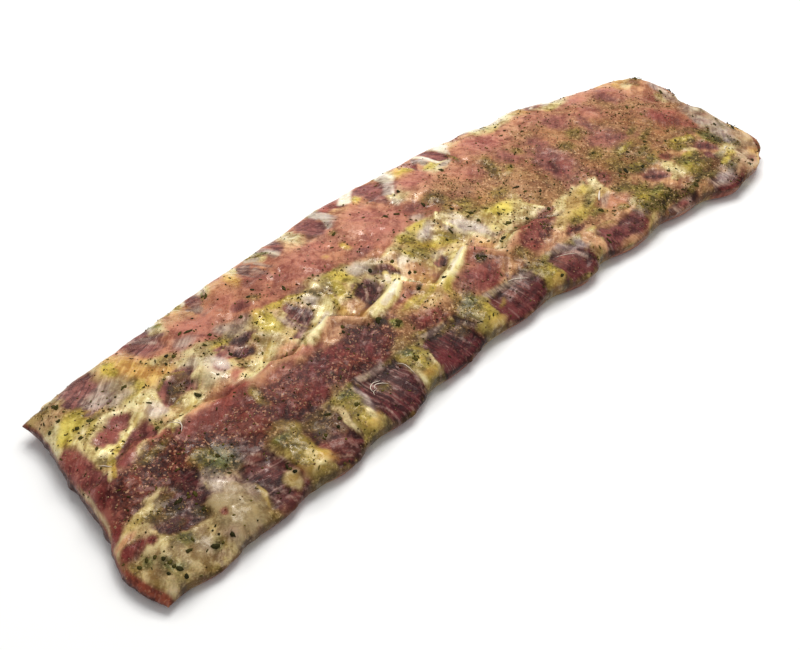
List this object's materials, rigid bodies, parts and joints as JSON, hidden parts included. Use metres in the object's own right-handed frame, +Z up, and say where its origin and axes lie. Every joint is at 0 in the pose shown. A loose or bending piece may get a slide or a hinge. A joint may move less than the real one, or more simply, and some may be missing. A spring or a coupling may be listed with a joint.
{
  "type": "raw rack of ribs",
  "caption": "Raw rack of pork ribs lying flat, bone side up: a long slab of meat with rib bones showing at both long edges and a herb rub.",
  "frame": {"origin": "centre of the rack's footprint, on the surface it lies on", "axes": "+X along the rack, +Y across it towards the bowed back edge, +Z up out of the bone side"},
  "size_m": [0.4028, 0.1342, 0.0223],
  "materials": {
    "raw_meat": "wet raw meat with pale fat, oil and herbs",
    "rib_bone": "sawn raw bone"
  },
  "bodies": {
    "root": {"rib_meat": "raw_meat", "rib_bone_1": "rib_bone", "rib_bone_2": "rib_bone", "rib_bone_3": "rib_bone", "rib_bone_4": "rib_bone", "rib_bone_5": "rib_bone", "rib_bone_6": "rib_bone", "rib_bone_7": "rib_bone", "rib_bone_8": "rib_bone", "rib_bone_9": "rib_bone", "rib_bone_10": "rib_bone", "rib_bone_11": "rib_bone"}
  },
  "joints": []
}
